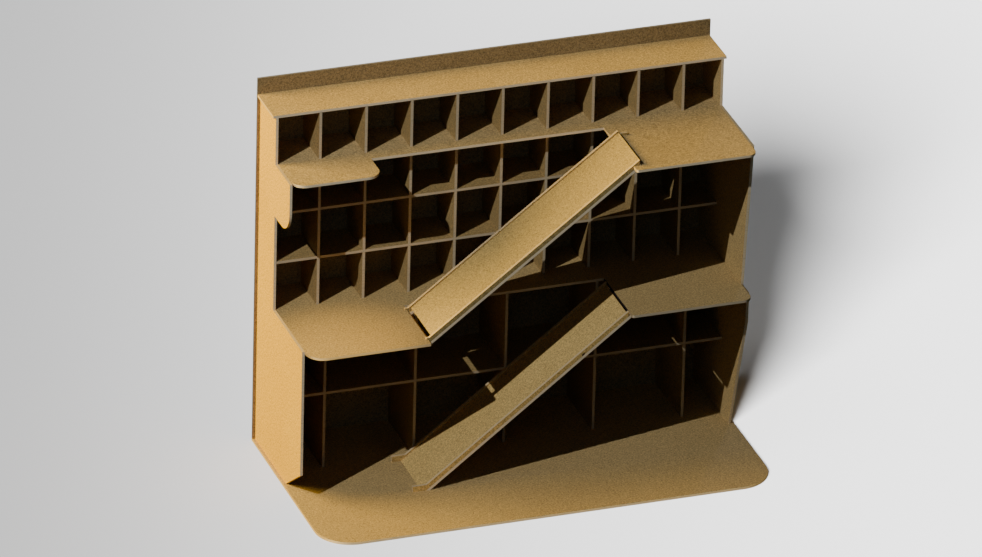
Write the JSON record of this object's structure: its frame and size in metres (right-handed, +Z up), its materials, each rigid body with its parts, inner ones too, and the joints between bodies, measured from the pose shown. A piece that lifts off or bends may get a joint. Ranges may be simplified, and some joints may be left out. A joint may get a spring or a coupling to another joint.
{
  "type": "paint rack organizer",
  "caption": "Open-fronted rack of board shelves and dividers forming a grid of paint cells, with wide platforms and two loose sloping ramps",
  "frame": {"origin": "middle of the base board's underside", "axes": "+X along the rack to the user's right, +Y towards the back panel, +Z up"},
  "size_m": [0.52, 0.261, 0.444],
  "materials": {
    "shelf_board": "satin",
    "panel_board": "satin",
    "divider_board": "satin",
    "ramp_board": "satin"
  },
  "bodies": {
    "rack": {"back_panel": "panel_board", "base_board": "shelf_board", "grid_shelf_a": "shelf_board", "grid_shelf_b": "shelf_board", "left_side_panel": "panel_board", "lower_bay_shelf": "shelf_board", "lower_divider_1": "divider_board", "lower_divider_2": "divider_board", "lower_divider_3": "divider_board", "lower_divider_4": "divider_board", "lower_divider_5": "divider_board", "lower_platform_shelf": "shelf_board", "right_side_panel": "panel_board", "top_shelf": "shelf_board", "upper_divider_1": "divider_board", "upper_divider_2": "divider_board", "upper_divider_3": "divider_board", "upper_divider_4": "divider_board", "upper_divider_5": "divider_board", "upper_divider_6": "divider_board", "upper_divider_7": "divider_board", "upper_divider_8": "divider_board", "upper_divider_9": "divider_board", "upper_platform_shelf": "shelf_board"},
    "upper_ramp": {"upper_ramp_back_rail": "ramp_board", "upper_ramp_deck": "ramp_board", "upper_ramp_front_rail": "ramp_board", "upper_ramp_tread": "ramp_board"},
    "lower_ramp": {"lower_ramp_back_rail": "ramp_board", "lower_ramp_deck": "ramp_board", "lower_ramp_front_rail": "ramp_board", "lower_ramp_tread": "ramp_board"}
  },
  "joints": [
    {"name": "upper_ramp_lift", "type": "slide", "parent": "rack", "child": "upper_ramp", "axis": [0, 0, 1], "range_m": [0, 0.1]},
    {"name": "lower_ramp_pull", "type": "slide", "parent": "rack", "child": "lower_ramp", "axis": [0, -1, 0], "range_m": [0, 0.1]}
  ]
}
